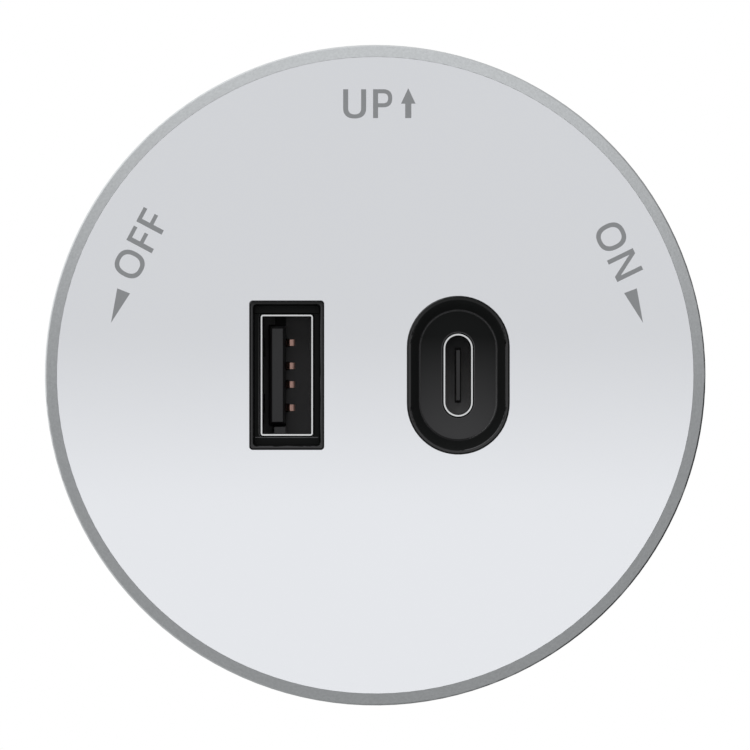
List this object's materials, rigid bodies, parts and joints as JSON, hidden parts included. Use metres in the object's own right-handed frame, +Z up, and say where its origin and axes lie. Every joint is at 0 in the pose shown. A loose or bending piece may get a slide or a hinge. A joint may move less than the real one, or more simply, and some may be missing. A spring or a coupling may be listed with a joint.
{
  "type": "power track usb socket",
  "caption": "Round twist-lock adapter for a wall power track, with an upright USB-A and an upright USB-C socket in its flat silver face.",
  "frame": {"origin": "centre of the guide base's seating face, on the twist axis, in the plane of the track's front face", "axes": "+Y along the twist axis, out of the back and into the track; +Z up, towards the face's UP mark; the face looks towards -Y"},
  "size_m": [0.071, 0.0483, 0.071],
  "materials": {
    "blasted_aluminium": "sandblasted and anodised",
    "satin_aluminium": "satin anodised",
    "silver_housing": "moulded, silver painted",
    "black_housing": "moulded, fine texture",
    "black_stem": "moulded, satin",
    "grey_base": "moulded, satin",
    "black_bezel": "moulded, satin",
    "nickel_steel": "nickel plated",
    "black_insulator": "moulded",
    "copper_contact": "copper alloy",
    "gold_contact": "gold plated",
    "board_laminate": "solder mask on glass fibre",
    "screw_steel": "zinc plated",
    "ferrite": "sintered",
    "winding_tape": "polyester tape",
    "copper_wire": "enamelled",
    "capacitor_sleeve": "shrunk sleeve",
    "capacitor_can": "drawn",
    "black_component": "moulded",
    "grey_component": "moulded",
    "blue_ceramic": "dipped",
    "brass_strip": "stamped",
    "spring_steel": "rolled",
    "silvered_brass": "silver plated",
    "black_rubber": "moulded"
  },
  "bodies": {
    "base": {"guide_base": "grey_base", "retaining_ring": "spring_steel", "friction_ring": "black_rubber"},
    "head": {"rim_ring": "blasted_aluminium", "face_panel": "satin_aluminium", "front_shell": "silver_housing", "rear_cover": "black_housing", "stem_body": "black_stem", "stem_cover": "black_stem", "usb_a_bezel": "black_bezel", "usb_c_bezel": "black_bezel", "usb_a_shell": "nickel_steel", "usb_c_shell": "nickel_steel", "usb_a_housing": "black_insulator", "usb_c_housing": "black_insulator", "usb_a_contacts": "copper_contact", "usb_c_contacts": "gold_contact", "main_board": "board_laminate", "board_screws": "screw_steel", "cover_screws": "screw_steel", "stem_screws": "screw_steel", "flange_screws": "screw_steel", "transformer_core": "ferrite", "choke_core": "ferrite", "transformer_bobbin": "black_insulator", "transformer_winding": "winding_tape", "choke_winding": "copper_wire", "input_capacitors": "capacitor_sleeve", "output_capacitors": "capacitor_can", "fuse": "black_component", "safety_capacitor": "blue_ceramic", "bridge_rectifier": "black_component", "optocoupler": "black_component", "controller_chip": "black_component", "charge_chip": "black_component", "output_choke": "grey_component", "live_strip": "brass_strip", "neutral_strip": "brass_strip", "earth_strip": "brass_strip", "live_spring": "spring_steel", "neutral_spring": "spring_steel", "earth_spring": "spring_steel"},
    "live_contact": {"live_shoe": "silvered_brass"},
    "neutral_contact": {"neutral_shoe": "silvered_brass"},
    "earth_contact": {"earth_pin": "silvered_brass"}
  },
  "joints": [
    {"name": "twist_to_on", "type": "hinge", "parent": "base", "child": "head", "pos_m": [0, 0, 0], "axis": [0, 1, 0], "range_deg": [0, 90]},
    {"name": "live_press", "type": "slide", "parent": "head", "child": "live_contact", "axis": [1, 0, 0], "range_m": [0, 0.0008], "stiffness_N_per_m": 1500, "springref_m": -0.0008, "deforming": ["live_spring"]},
    {"name": "neutral_press", "type": "slide", "parent": "head", "child": "neutral_contact", "axis": [-1, 0, 0], "range_m": [0, 0.0008], "stiffness_N_per_m": 1500, "springref_m": -0.0008, "deforming": ["neutral_spring"]},
    {"name": "earth_press", "type": "slide", "parent": "head", "child": "earth_contact", "axis": [0, -1, 0], "range_m": [0, 0.0008], "stiffness_N_per_m": 1500, "springref_m": -0.0008, "deforming": ["earth_spring"]}
  ]
}
